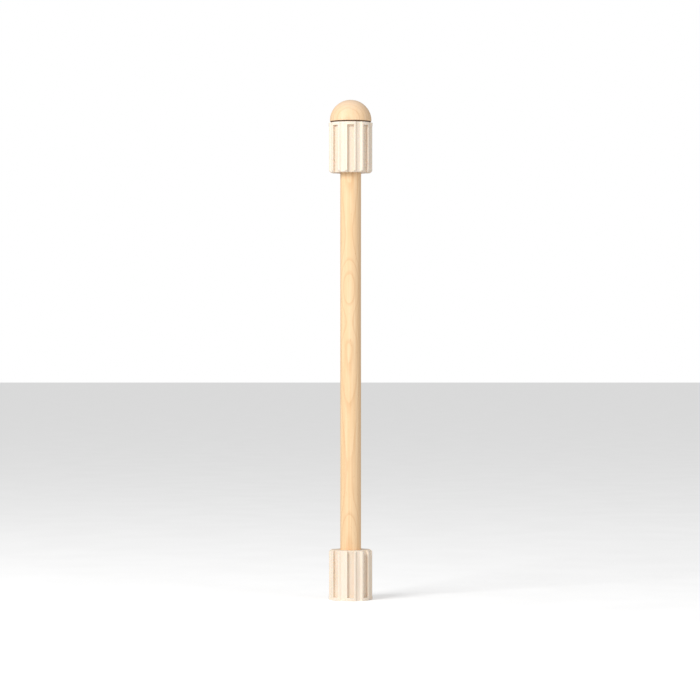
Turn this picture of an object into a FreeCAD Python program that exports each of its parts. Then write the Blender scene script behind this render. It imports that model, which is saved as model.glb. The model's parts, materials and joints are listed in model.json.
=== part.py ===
import FreeCAD, Part
import math
import os

# Bar muddler. A plain maple dowel carries a fluted nylon muddling head at its lower end and the same
# fluted shape, the other way up, at its top end, under a maple half-ball that the palm presses on.
# Threaded bolts inside the dowel's ends hold the head and the half-ball.
# Millimetres, +Z up the dowel, origin at the centre of the flat muddling face.

# ---- overall sizes ----
OVERALL_LENGTH = 304.8
ROD_DIAMETER = 12.7
DOME_DIAMETER = 25.4
SLEEVE_DIAMETER = 26.7
SLEEVE_LENGTH = 30.5

# ---- fluted sleeves ----
SLOT_COUNT = 8                # deep slots round the sleeve, with a shallow flute between each two
SLOT_WIDTH = 4.0
SLOT_DEPTH = 2.0
FLANGE_THICKNESS = 1.9        # plain rim that closes the slots at the sleeve's outer end
FLUTE_MOUTH = 4.3
FLUTE_FLOOR = 2.0
FLUTE_DEPTH = 0.9
MOUTH_CHAMFER = 1.15          # cone round the open end, where the dowel enters
RIDGE_ROUND = 0.22            # rounding along every ridge
FLANGE_ROUND = 0.3            # rounding of the flat end's rim
FACE_THICKNESS = 3.0          # solid nylon behind the muddling face
WEB_THICKNESS = 3.0           # what the nut clamps against the dowel's end
BORE_LEAD_IN = 0.4
ROD_BEVEL = 0.5

# ---- palm dome and gasket ----
DOME_SKIRT = 0.5              # straight band under the half-ball
DOME_FOOT_ROUND = 0.4
GASKET_THICKNESS = 0.8
GASKET_INSET = 0.5            # how far the gasket's rim lies inside the dome's

# ---- hardware, M5 ----
BOLT_MAJOR = 5.0
BOLT_PITCH = 0.8
BOLT_THREAD_DEPTH = 0.43
BOLT_END_GAP = 0.5            # from the bolt's end to the insert's closed end
BOLT_COLLAR_LENGTH = 1.5      # plain shank between the bolt's two threads
WOOD_THREAD_LENGTH = 20.5
WOOD_THREAD_PITCH = 2.2
WOOD_THREAD_DEPTH = 0.75
WOOD_TIP_LENGTH = 3.5
INSERT_WALL = 1.2             # brass outside the insert's own thread
DOME_INSERT_LENGTH = 8.0
HEAD_INSERT_LENGTH = 7.0
BARB_DEPTH = 0.35
BARB_PITCH = 1.6
DRIVER_SLOT_WIDTH = 1.0       # screwdriver slot across an insert's face
DRIVER_SLOT_DEPTH = 1.0
WASHER_RING = 2.25            # from the washer's hole to its rim
WASHER_THICKNESS = 1.0
NUT_WALL = 1.5                # from the thread's major diameter to a flat
NUT_HEIGHT = 4.0
NUT_HEADROOM = 2.0            # from the nut to the gasket

# ---- clearances, all radial ----
ROD_CLEARANCE = 0.05
THREAD_CLEARANCE = 0.05
HOLE_CLEARANCE = 0.25         # bolt in a plain hole
POCKET_CLEARANCE = 1.0        # washer in its pocket
INSERT_CLEARANCE = 0.02

# ---- levels up the axis ----
SLOT_PITCH_DEG = 360.0 / SLOT_COUNT
DOME_HEIGHT = DOME_DIAMETER / 2 + DOME_SKIRT
DOME_BASE = OVERALL_LENGTH - DOME_HEIGHT
SLEEVE_TOP = DOME_BASE - GASKET_THICKNESS
POCKET_DEPTH = WASHER_THICKNESS + NUT_HEIGHT + NUT_HEADROOM
WEB_TOP = SLEEVE_TOP - POCKET_DEPTH
ROD_TOP = WEB_TOP - WEB_THICKNESS
ROD_BOTTOM = FACE_THICKNESS + HEAD_INSERT_LENGTH

# ---- radii that several pieces share ----
SLEEVE_RADIUS = SLEEVE_DIAMETER / 2
ROD_RADIUS = ROD_DIAMETER / 2
BORE_RADIUS = ROD_RADIUS + ROD_CLEARANCE
BOLT_HOLE_RADIUS = BOLT_MAJOR / 2 + HOLE_CLEARANCE
INSERT_RADIUS = BOLT_MAJOR / 2 + THREAD_CLEARANCE + INSERT_WALL
WASHER_RADIUS = BOLT_HOLE_RADIUS + WASHER_RING
OVERCUT = 1.0                 # how far a cutter runs past the face it opens

AXIS = FreeCAD.Vector(0, 0, 1)
ORIGIN = FreeCAD.Vector(0, 0, 0)


def turned(outline):
    """The solid that a closed outline of (radius, height) points sweeps round the axis."""
    points = [FreeCAD.Vector(radius, 0, height) for radius, height in outline]
    face = Part.Face(Part.makePolygon(points + points[:1]))
    return face.revolve(ORIGIN, AXIS, 360)


def cylinder(radius, bottom, top):
    return Part.makeCylinder(radius, top - bottom, FreeCAD.Vector(0, 0, bottom), AXIS)


def prism(outline, bottom, top):
    """A closed outline of (x, y) points, raised from bottom to top."""
    points = [FreeCAD.Vector(x, y, bottom) for x, y in outline]
    face = Part.Face(Part.makePolygon(points + points[:1]))
    return face.extrude(FreeCAD.Vector(0, 0, top - bottom))


def turned_copy(shape, degrees):
    copy = shape.copy()
    copy.rotate(ORIGIN, AXIS, degrees)
    return copy


def raised(shape, level):
    copy = shape.copy()
    copy.translate(FreeCAD.Vector(0, 0, level))
    return copy


def flipped(shape, level):
    """The same solid the other way up, its old z = 0 face now at this level."""
    copy = shape.copy()
    copy.rotate(ORIGIN, FreeCAD.Vector(1, 0, 0), 180)
    return raised(copy, level)


def upright_edges(shape, inner_radius):
    """Straight edges parallel to the axis that lie outside this radius."""
    found = []
    for edge in shape.Edges:
        start, end = edge.Vertexes[0].Point, edge.Vertexes[-1].Point
        straight_up = math.hypot(start.x - end.x, start.y - end.y) < 1e-6 and edge.Length > 1.0
        if straight_up and math.hypot(start.x, start.y) > inner_radius:
            found.append(edge)
    return found


# ---- threads, as rings of the thread's section ----

def thread_outline(major_radius, depth, pitch, crest_share, bottom, top):
    """(radius, height) points up the outside of a thread: whole turns from the bottom, then plain."""
    turns = int((top - bottom) / pitch + 1e-6)
    crest = pitch * crest_share
    flank = (pitch - crest) * 0.4
    root = (pitch - crest) / 2 - flank
    root_radius = major_radius - depth
    points = [(root_radius, bottom)]
    for turn in range(turns):
        start = bottom + turn * pitch + root
        points.append((root_radius, start))
        points.append((major_radius, start + flank))
        points.append((major_radius, start + flank + crest))
        points.append((root_radius, start + 2 * flank + crest))
    points.append((root_radius, top))
    return points


def machine_thread(length, growth=0.0):
    """Outline of the bolt's M5 thread, from z = 0 upwards."""
    radius = BOLT_MAJOR / 2 + growth
    return thread_outline(radius, BOLT_THREAD_DEPTH, BOLT_PITCH, 0.15, 0, length)


def wood_end(growth=0.0):
    """Outline of the bolt's wooden end, from its tip up to z = 0."""
    radius = BOLT_MAJOR / 2 + growth
    root_radius = radius - WOOD_THREAD_DEPTH
    tip = -(BOLT_COLLAR_LENGTH + WOOD_THREAD_LENGTH)
    thread_bottom = tip + WOOD_TIP_LENGTH
    outline = [(0, tip - growth), (root_radius * 0.35, tip - growth)]
    outline += thread_outline(
        radius, WOOD_THREAD_DEPTH, WOOD_THREAD_PITCH, 0.08, thread_bottom, -BOLT_COLLAR_LENGTH
    )
    return outline + [(radius, -BOLT_COLLAR_LENGTH), (radius, 0)]


def hanger_bolt(machine_length):
    """Machine thread up from z = 0, wood thread down from it."""
    return turned(wood_end() + machine_thread(machine_length) + [(0, machine_length)])


def hanger_bolt_socket():
    """What the bolt's wooden end takes out of the dowel's end, with its clearance."""
    outline = wood_end(THREAD_CLEARANCE)
    return turned(outline + [(outline[-1][0], OVERCUT), (0, OVERCUT)])


def tapping(start, end):
    """What tapping takes out between two levels, where the bolt's thread begins at the first."""
    outline = machine_thread(end - start, THREAD_CLEARANCE)
    return raised(turned([(0, 0)] + outline + [(0, end - start)]), start)


# ---- threaded inserts: slotted face at z = 0, body upwards ----

def barbed_outline(length, growth=0.0):
    barbs = int(length / BARB_PITCH)
    step = length / barbs
    radius = INSERT_RADIUS + growth
    points = [(0, 0)]
    for barb in range(barbs):
        points.append((radius, barb * step))
        points.append((radius - BARB_DEPTH, (barb + 1) * step))
    return points + [(0, length)]


def insert(length, thread_start):
    body = turned(barbed_outline(length)).cut(tapping(thread_start, length + OVERCUT))
    half = DRIVER_SLOT_WIDTH / 2
    reach = INSERT_RADIUS + OVERCUT
    corners = [(-reach, -half), (reach, -half), (reach, half), (-reach, half)]
    return body.cut(prism(corners, -OVERCUT, DRIVER_SLOT_DEPTH))


def insert_socket(length):
    mouth = cylinder(INSERT_RADIUS + INSERT_CLEARANCE, -OVERCUT, 0)
    return turned(barbed_outline(length, INSERT_CLEARANCE)).fuse(mouth).removeSplitter()


# ---- the fluted shape both sleeves share: flat end at z = 0, open end at the top ----

def flute_cutter():
    """A shallow flute, centred on the +X direction, that runs the sleeve's whole length."""
    mouth_depth = SLEEVE_RADIUS - math.sqrt(SLEEVE_RADIUS ** 2 - (FLUTE_MOUTH / 2) ** 2)
    floor_radius = SLEEVE_RADIUS - FLUTE_DEPTH
    spread = (FLUTE_MOUTH - FLUTE_FLOOR) / 2 / (FLUTE_DEPTH - mouth_depth)
    outside = SLEEVE_RADIUS + OVERCUT
    outside_half = FLUTE_FLOOR / 2 + spread * (outside - floor_radius)
    corners = [
        (floor_radius, -FLUTE_FLOOR / 2),
        (outside, -outside_half),
        (outside, outside_half),
        (floor_radius, FLUTE_FLOOR / 2),
    ]
    return prism(corners, -OVERCUT, SLEEVE_LENGTH + OVERCUT)


def slot_cutter():
    """A deep slot, centred on the +X direction, open at the sleeve's open end only."""
    floor_radius = SLEEVE_RADIUS - SLOT_DEPTH
    outside = SLEEVE_RADIUS + OVERCUT
    half = SLOT_WIDTH / 2
    corners = [(floor_radius, -half), (outside, -half), (outside, half), (floor_radius, half)]
    return prism(corners, FLANGE_THICKNESS, SLEEVE_LENGTH + OVERCUT)


def ridge_round():
    """The named rounding, or less where a ridge is too narrow to carry it on both sides."""
    taken = math.asin(SLOT_WIDTH / SLEEVE_DIAMETER) + math.asin(FLUTE_MOUTH / SLEEVE_DIAMETER)
    ridge_width = SLEEVE_RADIUS * (math.pi / SLOT_COUNT - taken)
    return min(RIDGE_ROUND, ridge_width * 0.4)


def mouth_chamfer_cutter():
    """The ring outside the cone at the open end."""
    low = SLEEVE_LENGTH - MOUTH_CHAMFER - OVERCUT
    high = SLEEVE_LENGTH + OVERCUT
    outside = SLEEVE_RADIUS + OVERCUT
    return turned([(outside, low), (outside, high), (SLEEVE_RADIUS - MOUTH_CHAMFER - OVERCUT, high)])


def flange_round_cutter():
    """The ring outside the rounded rim of the flat end."""
    outside = SLEEVE_RADIUS + OVERCUT
    inner = SLEEVE_RADIUS - FLANGE_ROUND
    middle = FLANGE_ROUND * (1 - math.sqrt(0.5))
    arc = Part.Arc(
        FreeCAD.Vector(SLEEVE_RADIUS, 0, FLANGE_ROUND),
        FreeCAD.Vector(SLEEVE_RADIUS - middle, 0, middle),
        FreeCAD.Vector(inner, 0, 0),
    )
    corners = [
        (inner, 0),
        (inner, -OVERCUT),
        (outside, -OVERCUT),
        (outside, FLANGE_ROUND),
        (SLEEVE_RADIUS, FLANGE_ROUND),
    ]
    rest = Part.makePolygon([FreeCAD.Vector(radius, 0, height) for radius, height in corners])
    return Part.Face(Part.Wire([arc.toShape()] + rest.Edges)).revolve(ORIGIN, AXIS, 360)


def fluted_blank():
    blank = cylinder(SLEEVE_RADIUS, 0, SLEEVE_LENGTH)
    flute = flute_cutter()
    slot = slot_cutter()
    for index in range(SLOT_COUNT):
        blank = blank.cut(turned_copy(flute, (index + 0.5) * SLOT_PITCH_DEG))
        blank = blank.cut(turned_copy(slot, index * SLOT_PITCH_DEG))
    ridges = upright_edges(blank, SLEEVE_RADIUS - (SLOT_DEPTH + FLUTE_DEPTH) / 2)
    blank = blank.makeFillet(ridge_round(), ridges)
    return blank.cut(mouth_chamfer_cutter()).cut(flange_round_cutter())


def rod_bore(floor):
    """What the dowel's bore takes out of a sleeve, from this level to the open end."""
    lead_radius = BORE_RADIUS + BORE_LEAD_IN
    return turned(
        [
            (0, floor),
            (BORE_RADIUS, floor),
            (BORE_RADIUS, SLEEVE_LENGTH - BORE_LEAD_IN),
            (lead_radius, SLEEVE_LENGTH),
            (lead_radius, SLEEVE_LENGTH + OVERCUT),
            (0, SLEEVE_LENGTH + OVERCUT),
        ]
    )


# ---- the two sleeves, the dowel and the palm dome ----

def muddling_head():
    """Lower fluted piece: a closed end, with a threaded insert in the bore's floor."""
    socket = flipped(insert_socket(HEAD_INSERT_LENGTH), ROD_BOTTOM)
    return fluted_blank().cut(rod_bore(ROD_BOTTOM)).cut(socket)


def upper_sleeve():
    """Upper fluted piece: a web on the dowel's end, and a pocket for the nut under the dome."""
    floor = SLEEVE_TOP - ROD_TOP
    pocket = cylinder(WASHER_RADIUS + POCKET_CLEARANCE, -OVERCUT, POCKET_DEPTH)
    bolt_hole = cylinder(BOLT_HOLE_RADIUS, 0, floor + OVERCUT)
    sleeve = fluted_blank().cut(rod_bore(floor)).cut(pocket).cut(bolt_hole)
    return flipped(sleeve, SLEEVE_TOP)


def handle_rod():
    rod = turned(
        [
            (0, ROD_BOTTOM),
            (ROD_RADIUS - ROD_BEVEL, ROD_BOTTOM),
            (ROD_RADIUS, ROD_BOTTOM + ROD_BEVEL),
            (ROD_RADIUS, ROD_TOP - ROD_BEVEL),
            (ROD_RADIUS - ROD_BEVEL, ROD_TOP),
            (0, ROD_TOP),
        ]
    )
    socket = hanger_bolt_socket()
    return rod.cut(raised(socket, ROD_TOP)).cut(flipped(socket, ROD_BOTTOM))


def palm_dome():
    """A half-ball on a short skirt with a rounded foot, and the insert's socket in its base."""
    radius = DOME_DIAMETER / 2
    skirt_top = DOME_BASE + DOME_SKIRT
    foot = radius - DOME_FOOT_ROUND
    foot_top = DOME_BASE + DOME_FOOT_ROUND
    slant = math.sqrt(0.5)
    foot_arc = Part.Arc(
        FreeCAD.Vector(foot, 0, DOME_BASE),
        FreeCAD.Vector(foot + DOME_FOOT_ROUND * slant, 0, foot_top - DOME_FOOT_ROUND * slant),
        FreeCAD.Vector(radius, 0, foot_top),
    )
    crown = Part.Arc(
        FreeCAD.Vector(radius, 0, skirt_top),
        FreeCAD.Vector(radius * slant, 0, skirt_top + radius * slant),
        FreeCAD.Vector(0, 0, OVERALL_LENGTH),
    )
    skirt = Part.makeLine(foot_arc.EndPoint, crown.StartPoint)
    axis = Part.makeLine(crown.EndPoint, FreeCAD.Vector(0, 0, DOME_BASE))
    base = Part.makeLine(FreeCAD.Vector(0, 0, DOME_BASE), foot_arc.StartPoint)
    outline = Part.Wire([foot_arc.toShape(), skirt, crown.toShape(), axis, base])
    dome = Part.Face(outline).revolve(ORIGIN, AXIS, 360)
    return dome.cut(raised(insert_socket(DOME_INSERT_LENGTH), DOME_BASE))


def dome_gasket():
    disc = cylinder(DOME_DIAMETER / 2 - GASKET_INSET, SLEEVE_TOP, DOME_BASE)
    return disc.cut(cylinder(BOLT_HOLE_RADIUS, SLEEVE_TOP, DOME_BASE))


# ---- the hardware in its places ----

def upper_hanger_bolt():
    insert_end = DOME_BASE + DOME_INSERT_LENGTH
    return raised(hanger_bolt(insert_end - BOLT_END_GAP - ROD_TOP), ROD_TOP)


def lower_hanger_bolt():
    return flipped(hanger_bolt(HEAD_INSERT_LENGTH - BOLT_END_GAP), ROD_BOTTOM)


def dome_insert():
    return raised(insert(DOME_INSERT_LENGTH, ROD_TOP - DOME_BASE), DOME_BASE)


def head_insert():
    return flipped(insert(HEAD_INSERT_LENGTH, 0), ROD_BOTTOM)


def sleeve_washer():
    top = WEB_TOP + WASHER_THICKNESS
    return cylinder(WASHER_RADIUS, WEB_TOP, top).cut(cylinder(BOLT_HOLE_RADIUS, WEB_TOP, top))


def sleeve_nut():
    """Hexagon with both rims bevelled at 30 degrees."""
    bottom = WEB_TOP + WASHER_THICKNESS
    top = bottom + NUT_HEIGHT
    flat_radius = BOLT_MAJOR / 2 + NUT_WALL
    corner_radius = flat_radius / math.cos(math.radians(30))
    corners = [
        (corner_radius * math.cos(turn), corner_radius * math.sin(turn))
        for turn in (math.radians(60 * corner) for corner in range(6))
    ]
    rise = (corner_radius - flat_radius) * math.tan(math.radians(30))
    bevels = turned(
        [
            (0, bottom),
            (flat_radius, bottom),
            (corner_radius, bottom + rise),
            (corner_radius, top - rise),
            (flat_radius, top),
            (0, top),
        ]
    )
    return prism(corners, bottom, top).common(bevels).cut(tapping(ROD_TOP, top + OVERCUT))


PIECES = [
    handle_rod,
    palm_dome,
    upper_sleeve,
    muddling_head,
    dome_gasket,
    dome_insert,
    head_insert,
    upper_hanger_bolt,
    lower_hanger_bolt,
    sleeve_washer,
    sleeve_nut,
]


def main():
    os.makedirs("parts", exist_ok=True)
    for piece in PIECES:
        solids = piece().Solids
        if len(solids) != 1 or not solids[0].isValid():
            raise ValueError(piece.__name__ + " isn't one valid solid")
        solids[0].exportStep("parts/" + piece.__name__ + ".step")
        print(piece.__name__, round(solids[0].Volume, 1), "mm3")


main()
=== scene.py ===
import json
import math

import bpy
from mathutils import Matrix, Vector


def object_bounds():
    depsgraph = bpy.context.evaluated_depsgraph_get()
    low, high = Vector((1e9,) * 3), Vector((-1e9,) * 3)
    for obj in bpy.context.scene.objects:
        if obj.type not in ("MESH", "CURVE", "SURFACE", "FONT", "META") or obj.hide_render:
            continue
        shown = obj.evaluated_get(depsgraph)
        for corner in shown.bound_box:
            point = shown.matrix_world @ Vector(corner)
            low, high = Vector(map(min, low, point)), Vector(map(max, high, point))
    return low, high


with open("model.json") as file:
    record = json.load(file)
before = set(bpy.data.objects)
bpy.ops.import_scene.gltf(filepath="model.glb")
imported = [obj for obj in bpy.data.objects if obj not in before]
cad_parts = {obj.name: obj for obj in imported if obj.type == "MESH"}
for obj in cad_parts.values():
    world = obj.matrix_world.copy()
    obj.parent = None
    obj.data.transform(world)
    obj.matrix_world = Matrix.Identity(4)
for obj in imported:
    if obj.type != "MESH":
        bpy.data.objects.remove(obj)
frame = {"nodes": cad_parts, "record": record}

# A bar muddler standing on its fluted head: maple dowel and half-ball, two fluted nylon sleeves.
# Metres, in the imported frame: +Z up the dowel, the viewer on the -Y side.
# Inside materials, places are millimetres.

CAD_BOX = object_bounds()
NODES = frame["nodes"]

# ---- studio ----
VIEW_DISTANCE = 1.80          # camera to the dowel's axis
FRAME_WIDTH = 0.4271          # what the picture is wide at the axis
CAMERA_HEIGHT = 0.1522
CAMERA_X = -0.0004
SENSOR = 36.0
MIDDLE = (0, 0, 0.15)         # what the lamps point at
KEY_WATTS = 26.0
FILL_WATTS = 10.0
AMBIENT = 0.42                # the world's light on everything but the camera
FLOOR_HALF = 12.0
FLOOR_GLOW = 0.35
WHITE = (1.0, 1.0, 1.0, 1.0)

# ---- wood and nylon, in mm ----
MUDDLER_LENGTH = CAD_BOX[1][2] * 1000
PITH_PLACE = (9, 62, 0)       # centre of the growth rings, behind the piece
RING_SPACING = 1.9
SWAY = 1.6                    # how far the rings wander
ROD_DRIFT_MM = 16.0
DOME_DRIFT_MM = 6.0
RIDGE_HIGHLIGHT_AND_WEAR_RADII = (12.9, 13.3)    # from plain nylon to the ridges' painted highlight and their smoother, handled roughness
SLOT_SHADE_RADII = (12.3, 11.3)     # from plain nylon to the painted shade of the slot floors


def linear(red, green, blue):
    """A display colour, 0 to 255, as the linear colour that shader sockets take."""
    shares = [channel / 255 for channel in (red, green, blue)]
    return tuple([s / 12.92 if s <= 0.04045 else ((s + 0.055) / 1.055) ** 2.4 for s in shares] + [1.0])


# ---- a short way to write node graphs ----

class Graph:
    """Nodes of one material. Inputs take a value, or another node's output to link."""

    def __init__(self, name):
        self.material = bpy.data.materials.new(name)
        self.material.use_nodes = True
        self.tree = self.material.node_tree
        self.tree.nodes.clear()

    def put(self, kind, inputs=None, **settings):
        made = self.tree.nodes.new(kind)
        for key, value in settings.items():
            setattr(made, key, value)
        for key, value in (inputs or {}).items():
            socket = made.inputs[key]
            if isinstance(value, bpy.types.NodeSocket):
                self.tree.links.new(value, socket)
            else:
                socket.default_value = value
        return made

    def math(self, operation, *values):
        inputs = dict(enumerate(values))
        return self.put("ShaderNodeMath", inputs, operation=operation).outputs[0]

    def mix(self, share, first, second):
        inputs = {0: share, 6: first, 7: second}
        made = self.put("ShaderNodeMix", inputs, data_type="RGBA")
        return made.outputs[2]

    def fit(self, value, low, high, out_low=0.0, out_high=1.0):
        """Value from low..high to out_low..out_high, held at both ends and eased."""
        inputs = {0: value, 1: low, 2: high, 3: out_low, 4: out_high}
        return self.put("ShaderNodeMapRange", inputs, interpolation_type="SMOOTHSTEP").outputs[0]

    def position_mm(self):
        place = self.put("ShaderNodeTexCoord").outputs["Object"]
        return self.put("ShaderNodeVectorMath", {0: place, "Scale": 1000.0}, operation="SCALE").outputs[0]

    def stretched(self, vector, x, y, z):
        """The vector times these, and so a texture with features 1/x by 1/y by 1/z mm."""
        inputs = {0: vector, 1: (x, y, z)}
        return self.put("ShaderNodeVectorMath", inputs, operation="MULTIPLY").outputs[0]

    def noise(self, vector, detail=2.0, roughness=0.5):
        inputs = {
            "Vector": vector,
            "Scale": 1.0,
            "Detail": detail,
            "Roughness": roughness,
        }
        return self.put("ShaderNodeTexNoise", inputs).outputs[0]

    def curve(self, value, points):
        """A smooth curve through the listed (input, output) points, both from 0 to 1."""
        made = self.put("ShaderNodeFloatCurve", {"Value": value})
        line = made.mapping.curves[0]
        while len(line.points) < len(points):
            line.points.new(0.5, 0.5)
        for point, (across, up) in zip(line.points, points):
            point.location = (across, up)
        made.mapping.update()
        return made.outputs[0]

    def bump(self, height, distance, strength):
        inputs = {"Height": height, "Distance": distance, "Strength": strength}
        return self.put("ShaderNodeBump", inputs).outputs[0]

    def surface(self, **inputs):
        """Principled shader with these inputs, as the material's surface."""
        named = {key.replace("_", " "): value for key, value in inputs.items()}
        shader = self.put("ShaderNodeBsdfPrincipled", named)
        self.put("ShaderNodeOutputMaterial", {0: shader.outputs[0]})
        return self.material


# ---- materials ----

def maple(name, pale, warm, drift_points, drift_mm, painted_top_light=False):
    """Maple with its grain along Z. Growth rings are wide arcs about a pith behind the piece, and the
    drift curve slides them towards the viewer or away along Z, which draws arches on the round."""
    g = Graph(name)
    place = g.position_mm()
    axes = g.put("ShaderNodeSeparateXYZ", {0: place}).outputs
    across = g.stretched(place, 1, 1, 0)
    pith = g.put("ShaderNodeVectorMath", {0: across, 1: PITH_PLACE}, operation="DISTANCE")
    along = g.math("DIVIDE", axes[2], MUDDLER_LENGTH)
    drift = g.math("MULTIPLY", g.curve(along, drift_points), drift_mm)
    sway = g.math("MULTIPLY", g.noise(g.stretched(place, 0.09, 0.09, 0.03), 2.0), SWAY)
    depth = g.math("ADD", g.math("ADD", pith.outputs["Value"], drift), sway)
    ring = g.math("FRACT", g.math("DIVIDE", depth, RING_SPACING))
    ring_line = g.math("MULTIPLY", g.fit(ring, 0.62, 0.93), g.fit(ring, 0.93, 1.0, 1.0, 0.0))
    fibre = g.noise(g.stretched(place, 3.1, 3.1, 0.055), 5.0, 0.6)
    coarse = g.noise(g.stretched(place, 0.7, 0.7, 0.016), 3.0, 0.55)
    fleck_field = g.noise(g.stretched(place, 2.3, 2.3, 0.42), 1.0, 0.4)
    fleck = g.fit(fleck_field, 0.70, 0.80)
    colour = g.mix(g.fit(coarse, 0.34, 0.66), pale, warm)
    colour = g.mix(g.math("MULTIPLY", ring_line, 0.34), colour, linear(214, 163, 112))
    colour = g.mix(g.math("MULTIPLY", g.fit(fibre, 0.38, 0.68), 0.22), colour, linear(223, 178, 130))
    colour = g.mix(g.math("MULTIPLY", fleck, 0.35), colour, linear(176, 122, 78))
    # painted top light: surfaces facing up are mixed towards a lighter, pinker tone, standing for the light
    # from above
    if painted_top_light:
        upward = g.put("ShaderNodeSeparateXYZ", {0: g.put("ShaderNodeNewGeometry").outputs["Normal"]})
        top_light_share = g.fit(upward.outputs[2], 0.25, 0.95)
        colour = g.mix(g.math("MULTIPLY", top_light_share, 0.55), colour, linear(247, 219, 192))
    relief = g.math("ADD", g.math("MULTIPLY", fibre, 0.6), g.math("MULTIPLY", ring_line, 0.25))
    roughness = g.fit(fibre, 0.3, 0.7, 0.44, 0.56)
    return g.surface(
        Base_Color=colour,
        Roughness=roughness,
        Specular_IOR_Level=0.42,
        Normal=g.bump(relief, 0.00006, 0.5),
    )


def nylon():
    """Natural cream nylon, turned and milled: rougher in the slots and smoother on the ridges, with painted
    shade darkening the slot floors and a painted highlight lightening the ridges.
    """
    g = Graph("nylon")
    place = g.position_mm()
    flat = g.stretched(place, 1, 1, 0)
    out = g.put("ShaderNodeVectorMath", {0: flat}, operation="LENGTH").outputs["Value"]
    ridge_highlight_and_wear = g.fit(out, *RIDGE_HIGHLIGHT_AND_WEAR_RADII)
    depth = g.fit(out, *SLOT_SHADE_RADII)
    cloud = g.noise(g.stretched(place, 0.16, 0.16, 0.05), 3.0, 0.5)
    draw = g.noise(g.stretched(place, 4.5, 4.5, 0.12), 3.0, 0.55)
    grit = g.noise(g.stretched(place, 5.5, 5.5, 5.5), 3.0, 0.6)
    colour = g.mix(g.fit(cloud, 0.35, 0.65), linear(244, 229, 211), linear(240, 224, 205))
    # painted shade: the slot floors, below the plain radius, are mixed towards a darker cream
    colour = g.mix(g.math("MULTIPLY", depth, 0.3), colour, linear(222, 203, 182))
    # painted highlight: the outermost ridges are mixed towards a lighter cream
    colour = g.mix(g.math("MULTIPLY", ridge_highlight_and_wear, 0.25), colour, linear(250, 237, 220))
    relief = g.math("ADD", g.math("MULTIPLY", draw, 0.5), g.math("MULTIPLY", grit, 0.35))
    worn = g.fit(ridge_highlight_and_wear, 0.0, 1.0, 0.50, 0.40)
    roughness = g.math("ADD", worn, g.fit(grit, 0.3, 0.7, -0.03, 0.04))
    return g.surface(
        Base_Color=colour,
        Roughness=roughness,
        Specular_IOR_Level=0.45,
        Subsurface_Weight=0.12,
        Subsurface_Radius=(0.0016, 0.0012, 0.0008),
        Subsurface_Scale=1.0,
        Normal=g.bump(relief, 0.00004, 0.5),
    )


def gasket_rubber():
    g = Graph("gasket_rubber")
    place = g.position_mm()
    grit = g.noise(g.stretched(place, 3.5, 3.5, 3.5), 3.0, 0.6)
    # painted shade: the spacer washer is a real part, but its dark brown colour paints the deep shade in the
    # gap between the dome and the sleeve
    colour = g.mix(g.fit(grit, 0.3, 0.7), linear(66, 48, 38), linear(88, 66, 52))
    return g.surface(
        Base_Color=colour,
        Roughness=g.fit(grit, 0.3, 0.7, 0.72, 0.86),
        Specular_IOR_Level=0.3,
        Normal=g.bump(grit, 0.00005, 0.6),
    )


def turned_metal(name, bright, dull, roughness):
    """Metal with fine turning marks round the axis and faint staining."""
    g = Graph(name)
    place = g.position_mm()
    marks = g.noise(g.stretched(place, 0.3, 0.3, 14.0), 3.0, 0.6)
    stain = g.noise(g.stretched(place, 0.5, 0.5, 0.4), 4.0, 0.55)
    return g.surface(
        Base_Color=g.mix(g.fit(stain, 0.4, 0.65), bright, dull),
        Metallic=1.0,
        Roughness=g.fit(stain, 0.35, 0.7, roughness, roughness + 0.16),
        Normal=g.bump(marks, 0.00003, 0.5),
    )


ROD_DRIFT = [(0.0, 0.55), (0.12, 0.62), (0.22, 0.40), (0.36, 0.46), (0.50, 0.62), (0.555, 0.50),
             (0.62, 0.66), (0.72, 0.40), (0.86, 0.52), (1.0, 0.40)]
DOME_DRIFT = [(0.0, 0.5), (0.9, 0.5), (1.0, 0.62)]

MATERIALS = {
    "maple_rod": maple(
        "maple_rod", linear(246, 214, 172), linear(240, 202, 155), ROD_DRIFT, ROD_DRIFT_MM
    ),
    "maple_dome": maple(
        "maple_dome", linear(245, 213, 176), linear(243, 208, 165), DOME_DRIFT, DOME_DRIFT_MM, painted_top_light=True
    ),
    "nylon": nylon(),
    "gasket_rubber": gasket_rubber(),
    "insert_brass": turned_metal("insert_brass", linear(218, 182, 110), linear(178, 138, 78), 0.28),
    "bolt_steel": turned_metal("bolt_steel", linear(196, 198, 202), linear(150, 152, 156), 0.26),
}

SLOT_OF = {part["node"]: part["material_slot"] for part in frame["record"]["subparts"]}
for node_name, node_object in NODES.items():
    for slot in node_object.material_slots:
        slot.material = MATERIALS[SLOT_OF[node_name]]


# ---- floor and background ----

def floor_material():
    """Diffuse pale floor with a little glow that only the camera sees: near white where the lamps
    reach it, pale grey far off, and the object's shadow stays."""
    g = Graph("floor")
    place = g.position_mm()
    mottle = g.noise(g.stretched(place, 0.02, 0.02, 0.02), 3.0)
    colour = g.mix(g.fit(mottle, 0.3, 0.7), linear(232, 232, 232), linear(236, 236, 236))
    diffuse = g.put("ShaderNodeBsdfDiffuse", {"Color": colour})
    glow = g.put("ShaderNodeEmission", {"Color": WHITE, "Strength": FLOOR_GLOW})
    both = g.put("ShaderNodeAddShader", {0: diffuse.outputs[0], 1: glow.outputs[0]})
    seen = g.put("ShaderNodeLightPath").outputs["Is Camera Ray"]
    shader = g.put("ShaderNodeMixShader", {0: seen, 1: diffuse.outputs[0], 2: both.outputs[0]})
    g.put("ShaderNodeOutputMaterial", {0: shader.outputs[0]})
    return g.material


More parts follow.
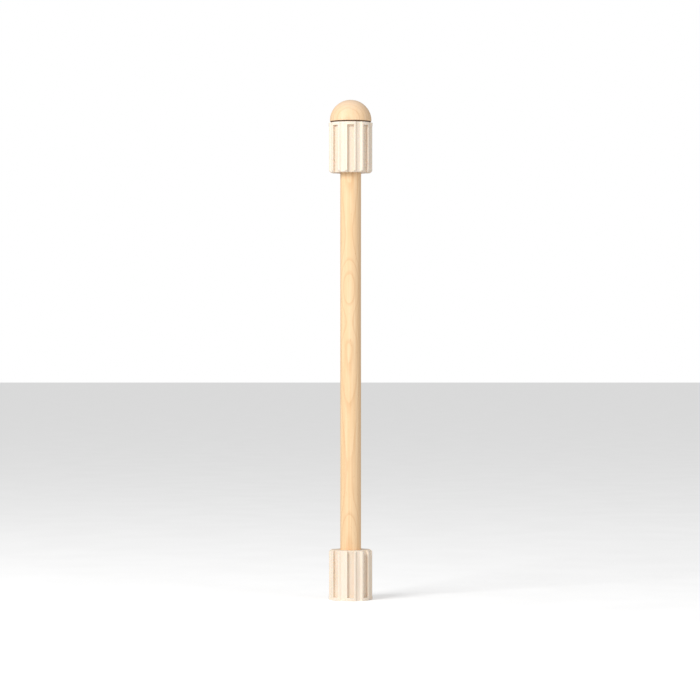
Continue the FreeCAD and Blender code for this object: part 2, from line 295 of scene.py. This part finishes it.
def make_floor():
    mesh = bpy.data.meshes.new("floor")
    turns = [(-1, -1), (1, -1), (1, 1), (-1, 1)]
    corners = [(x * FLOOR_HALF, y * FLOOR_HALF, 0) for x, y in turns]
    mesh.from_pydata(corners, [], [(0, 1, 2, 3)])
    floor = bpy.data.objects.new("floor", mesh)
    bpy.context.scene.collection.objects.link(floor)
    mesh.materials.append(floor_material())


def make_world():
    """White to the camera, and a soft grey light on everything else."""
    world = bpy.data.worlds.new("studio")
    bpy.context.scene.world = world
    world.use_nodes = True
    tree = world.node_tree
    tree.nodes.clear()
    path = tree.nodes.new("ShaderNodeLightPath")
    seen = tree.nodes.new("ShaderNodeBackground")
    seen.inputs[0].default_value = WHITE
    seen.inputs[1].default_value = 1.0
    ambient = tree.nodes.new("ShaderNodeBackground")
    ambient.inputs[0].default_value = WHITE
    ambient.inputs[1].default_value = AMBIENT
    mix = tree.nodes.new("ShaderNodeMixShader")
    out = tree.nodes.new("ShaderNodeOutputWorld")
    tree.links.new(path.outputs["Is Camera Ray"], mix.inputs[0])
    tree.links.new(ambient.outputs[0], mix.inputs[1])
    tree.links.new(seen.outputs[0], mix.inputs[2])
    tree.links.new(mix.outputs[0], out.inputs[0])


def area_light(name, place, target, size, watts):
    data = bpy.data.lights.new(name, "AREA")
    data.shape = "SQUARE"
    data.size = size
    data.energy = watts
    light = bpy.data.objects.new(name, data)
    bpy.context.scene.collection.objects.link(light)
    light.location = place
    light.rotation_euler = (Vector(target) - Vector(place)).to_track_quat("-Z", "Y").to_euler()


def make_lights():
    area_light("key", (-1.0, -1.3, 1.0), MIDDLE, 0.9, KEY_WATTS)
    area_light("fill", (1.6, -1.4, 0.5), MIDDLE, 1.6, FILL_WATTS)


def make_camera():
    data = bpy.data.cameras.new("camera")
    data.sensor_width = SENSOR
    data.lens = SENSOR * VIEW_DISTANCE / FRAME_WIDTH
    data.clip_start = 0.01
    data.clip_end = 100.0
    camera = bpy.data.objects.new("camera", data)
    bpy.context.scene.collection.objects.link(camera)
    camera.location = (CAMERA_X, -VIEW_DISTANCE, CAMERA_HEIGHT)
    camera.rotation_euler = (math.radians(90), 0, 0)
    bpy.context.scene.camera = camera


make_floor()
make_world()
make_lights()
make_camera()
bpy.context.scene.view_settings.view_transform = "Standard"
